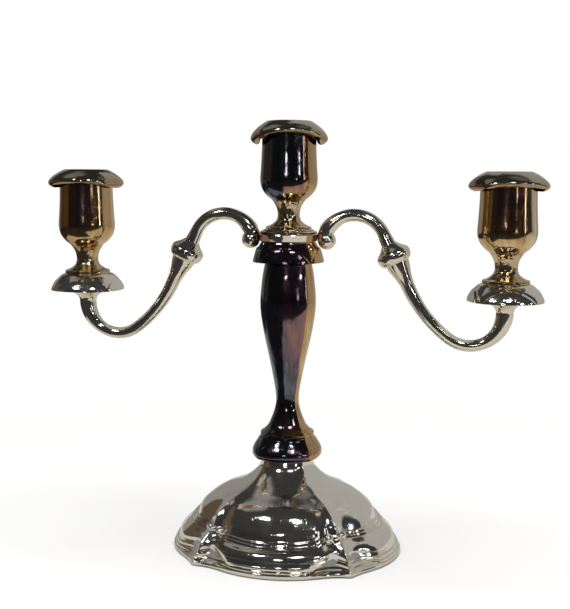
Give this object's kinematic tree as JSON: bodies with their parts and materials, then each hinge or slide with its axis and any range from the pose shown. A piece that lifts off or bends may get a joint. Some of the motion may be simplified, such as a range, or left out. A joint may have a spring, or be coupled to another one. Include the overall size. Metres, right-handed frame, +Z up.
{
  "type": "candelabrum",
  "caption": "Silver-plated candelabrum: a weighted four-lobed candlestick with a lift-off branch of curved arms and a centre light, petal-rimmed nozzles and drip pans.",
  "frame": {"origin": "on the table under the stem's axis, at the underside of the felt", "axes": "+Z up along the stem, X along the two arms, -Y the front"},
  "size_m": [0.2948, 0.1156, 0.2532],
  "materials": {
    "foot_silver": "polished silver plate with fine scratches",
    "branch_silver": "polished silver plate, warm with light tarnish",
    "pan_silver": "polished silver plate",
    "nozzle_silver": "polished silver plate, lightly tarnished",
    "gilt_tarnish": "silver plate tarnished golden brown",
    "dark_tarnish": "silver plate tarnished near black, with purple and tan bloom",
    "steel_rod": "plain turned steel",
    "brass_inside": "unpolished brass",
    "tin_plate": "dull tinned sheet",
    "filler": "cast resin and plaster filling",
    "green_felt": "green baize"
  },
  "bodies": {
    "candlestick": {"foot_shell": "foot_silver", "foot_weight": "filler", "base_plate": "tin_plate", "felt_pad": "green_felt", "lower_knop": "dark_tarnish", "stem": "dark_tarnish", "stem_liner": "brass_inside", "tie_rod": "steel_rod", "rod_washer": "steel_rod", "rod_nut": "brass_inside"},
    "drip_pan": {"socket_pan": "dark_tarnish"},
    "branch": {"branch_hub": "branch_silver", "branch_spigot": "brass_inside", "left_inner_arm": "branch_silver", "right_inner_arm": "branch_silver", "left_scroll_ball": "branch_silver", "right_scroll_ball": "branch_silver", "left_arm_collar": "branch_silver", "right_arm_collar": "branch_silver", "left_outer_arm": "branch_silver", "right_outer_arm": "branch_silver", "left_pan": "pan_silver", "right_pan": "pan_silver", "left_pan_base": "pan_silver", "right_pan_base": "pan_silver", "left_spool": "gilt_tarnish", "centre_spool": "gilt_tarnish", "right_spool": "gilt_tarnish", "left_cup": "gilt_tarnish", "centre_cup": "dark_tarnish", "right_cup": "gilt_tarnish", "cup_studs": "steel_rod", "cup_nuts": "brass_inside"},
    "left_light": {"left_nozzle": "nozzle_silver"},
    "centre_light": {"centre_nozzle": "nozzle_silver"},
    "right_light": {"right_nozzle": "nozzle_silver"}
  },
  "joints": [
    {"name": "pan_lift", "type": "slide", "parent": "candlestick", "child": "drip_pan", "axis": [0, 0, 1], "range_m": [0, 0.045]},
    {"name": "branch_turn", "type": "hinge", "parent": "drip_pan", "child": "branch", "pos_m": [0, 0, 0.184], "axis": [0, 0, 1], "continuous": true},
    {"name": "left_nozzle_lift", "type": "slide", "parent": "branch", "child": "left_light", "axis": [0, 0, 1], "range_m": [0, 0.035]},
    {"name": "centre_nozzle_lift", "type": "slide", "parent": "branch", "child": "centre_light", "axis": [0, 0, 1], "range_m": [0, 0.035]},
    {"name": "right_nozzle_lift", "type": "slide", "parent": "branch", "child": "right_light", "axis": [0, 0, 1], "range_m": [0, 0.035]}
  ]
}
